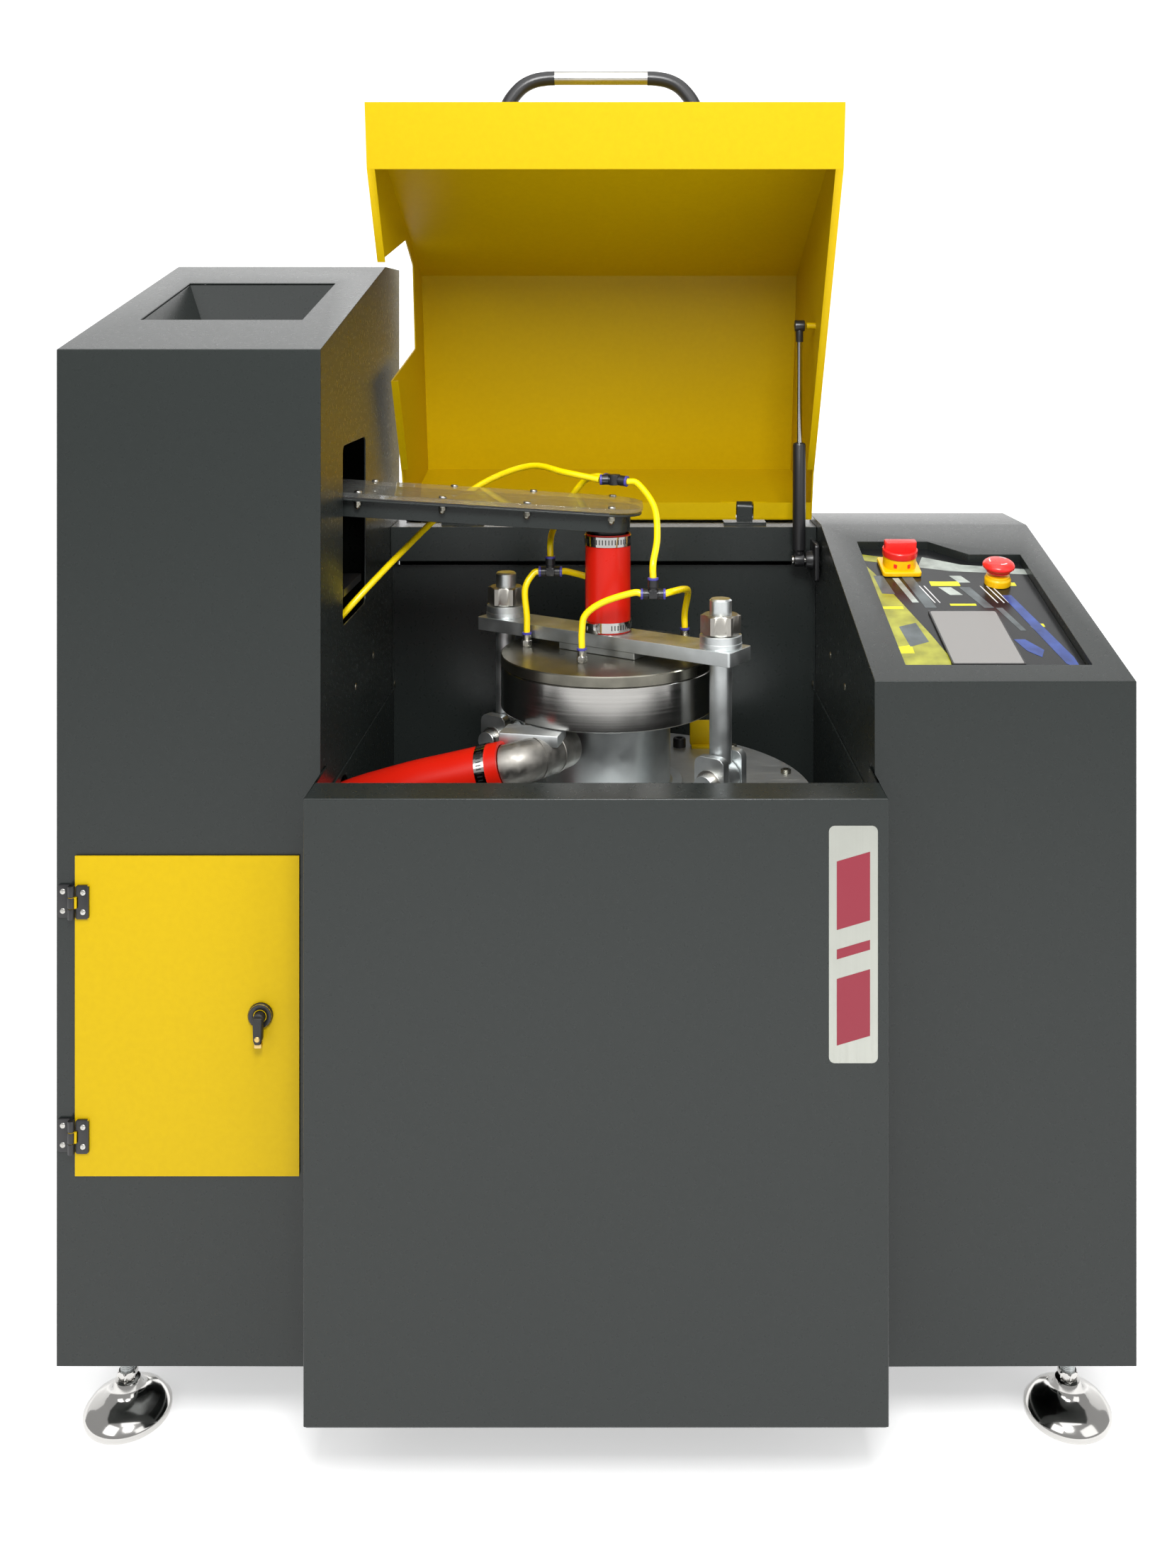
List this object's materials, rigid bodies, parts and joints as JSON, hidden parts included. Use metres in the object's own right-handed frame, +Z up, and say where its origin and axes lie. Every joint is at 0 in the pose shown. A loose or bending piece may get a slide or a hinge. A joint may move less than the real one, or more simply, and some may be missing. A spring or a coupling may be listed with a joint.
{
  "type": "vibratory disc mill",
  "caption": "Floor-standing enclosed vibratory disc mill with a feed hopper tower, a gas-strut lid over a clamped grinding bowl, and a sloped control console.",
  "frame": {"origin": "bottom centre of the bounding box, on the floor, with the lid open", "axes": "+X to the right of the operator, +Y to the back, +Z up"},
  "size_m": [1.17, 0.8121, 1.542],
  "materials": {
    "anthracite_paint": "semi-gloss powder coat",
    "yellow_paint": "semi-gloss powder coat",
    "satin_steel": "turned and brushed",
    "polished_steel": "polished",
    "blackened_steel": "black oxide",
    "motor_paint": "matt paint",
    "black_plastic": "moulded",
    "red_silicone": "smooth",
    "air_tube": "smooth",
    "clear_cover": "clear plate",
    "control_film": "printed film",
    "screen": "satin",
    "switch_yellow": "moulded",
    "knob_red": "moulded"
  },
  "bodies": {
    "machine": {"base_frame": "anthracite_paint", "foot_front_left": "polished_steel", "foot_front_right": "polished_steel", "foot_rear_left": "polished_steel", "foot_rear_right": "polished_steel", "tower_shell": "anthracite_paint", "tower_back_panel": "anthracite_paint", "console_shell": "anthracite_paint", "console_back_panel": "anthracite_paint", "front_cover": "anthracite_paint", "well_liner": "anthracite_paint", "rear_beam": "anthracite_paint", "well_back_panel": "anthracite_paint", "hopper": "anthracite_paint", "feeder_drive": "black_plastic", "sample_shelf": "satin_steel", "sample_cup": "satin_steel", "door_hinge_upper": "black_plastic", "door_hinge_lower": "black_plastic", "control_plate": "control_film", "touchscreen": "screen", "estop_base": "switch_yellow", "switch_base": "switch_yellow", "strut_bracket": "black_plastic", "support_spring_1": "satin_steel", "support_spring_2": "satin_steel", "support_spring_3": "satin_steel", "support_spring_4": "satin_steel"},
    "grinding_unit": {"vibrating_plate": "satin_steel", "bowl_pedestal": "satin_steel", "grinding_bowl": "satin_steel", "bowl_lid": "blackened_steel", "clamp_bar": "satin_steel", "swing_bolt_left": "satin_steel", "swing_bolt_right": "satin_steel", "clevis_left": "satin_steel", "clevis_right": "satin_steel", "outlet_chute": "satin_steel", "inlet_hose": "red_silicone", "discharge_hose": "red_silicone", "motor_housing": "motor_paint", "air_supply_tube": "air_tube", "air_union": "air_tube", "air_tee_left": "air_tube", "air_tee_right": "air_tube"},
    "feeder": {"feeder_trough": "anthracite_paint", "feeder_cover": "clear_cover"},
    "lid": {"lid": "yellow_paint", "lid_handle": "black_plastic"},
    "strut_cylinder": {"strut_cylinder": "black_plastic"},
    "strut_rod": {"strut_rod": "satin_steel"},
    "door": {"door": "yellow_paint"},
    "latch": {"latch_key": "black_plastic"},
    "switch_knob": {"switch_knob": "knob_red"},
    "estop_button": {"estop_button": "knob_red"},
    "clamp_nut_left": {"clamp_nut_left": "satin_steel"},
    "clamp_nut_right": {"clamp_nut_right": "satin_steel"},
    "motor_rotor": {"motor_rotor": "satin_steel"},
    "grinding_ring": {"grinding_ring": "satin_steel"},
    "grinding_puck": {"grinding_puck": "satin_steel"}
  },
  "joints": [
    {"name": "lid_hinge", "type": "hinge", "parent": "machine", "child": "lid", "pos_m": [0, 0.1756, 0.963], "axis": [1, 0, 0], "range_deg": [0, 79.5]},
    {"name": "strut_pivot", "type": "hinge", "parent": "machine", "child": "strut_cylinder", "pos_m": [0.2735, 0.1206, 0.897], "axis": [1, 0, 0], "range_deg": [0, 74.98]},
    {"name": "strut_slide", "type": "slide", "parent": "strut_cylinder", "child": "strut_rod", "axis": [0, -0.0215, 0.9998], "range_m": [-0.10794, 0]},
    {"name": "door_hinge", "type": "hinge", "parent": "machine", "child": "door", "pos_m": [-0.5665, -0.3259, 0.478], "axis": [0, 0, 1], "range_deg": [-110, 0]},
    {"name": "latch_turn", "type": "hinge", "parent": "door", "child": "latch", "pos_m": [-0.363, -0.3194, 0.4796], "axis": [0, 1, 0], "range_deg": [-90, 0]},
    {"name": "switch_turn", "type": "hinge", "parent": "machine", "child": "switch_knob", "pos_m": [0.3865, -0.02011, 0.92772], "axis": [0, -0.2534, 0.9674], "range_deg": [0, 90]},
    {"name": "estop_press", "type": "slide", "parent": "machine", "child": "estop_button", "axis": [0, 0.2534, -0.9674], "range_m": [0, 0.004], "stiffness_N_per_m": 300},
    {"name": "grinding_sway", "type": "slide", "parent": "machine", "child": "grinding_unit", "axis": [1, 0, 0], "range_m": [-0.002, 0.002], "stiffness_N_per_m": 50000},
    {"name": "motor_spin", "type": "hinge", "parent": "grinding_unit", "child": "motor_rotor", "pos_m": [0.01, -0.1244, 0.527], "axis": [0, 0, 1], "continuous": true},
    {"name": "ring_slide", "type": "slide", "parent": "grinding_unit", "child": "grinding_ring", "axis": [1, 0, 0], "range_m": [-0.015, 0.015]},
    {"name": "puck_slide", "type": "slide", "parent": "grinding_ring", "child": "grinding_puck", "axis": [1, 0, 0], "range_m": [-0.012, 0.012]},
    {"name": "nut_left_spin", "type": "hinge", "parent": "grinding_unit", "child": "clamp_nut_left", "pos_m": [-0.1216, -0.03696, 0.877], "axis": [0, 0, 1], "continuous": true},
    {"name": "nut_right_spin", "type": "hinge", "parent": "grinding_unit", "child": "clamp_nut_right", "pos_m": [0.1416, -0.21184, 0.877], "axis": [0, 0, 1], "continuous": true},
    {"name": "feeder_shake", "type": "slide", "parent": "machine", "child": "feeder", "axis": [1, 0, 0], "range_m": [-0.001, 0.001], "stiffness_N_per_m": 30000}
  ],
  "couplings": [
    {"joint": "strut_pivot", "follows": "lid_hinge", "ratio": 0.94186},
    {"joint": "strut_slide", "follows": "lid_hinge", "m_per_rad": -0.077651}
  ]
}
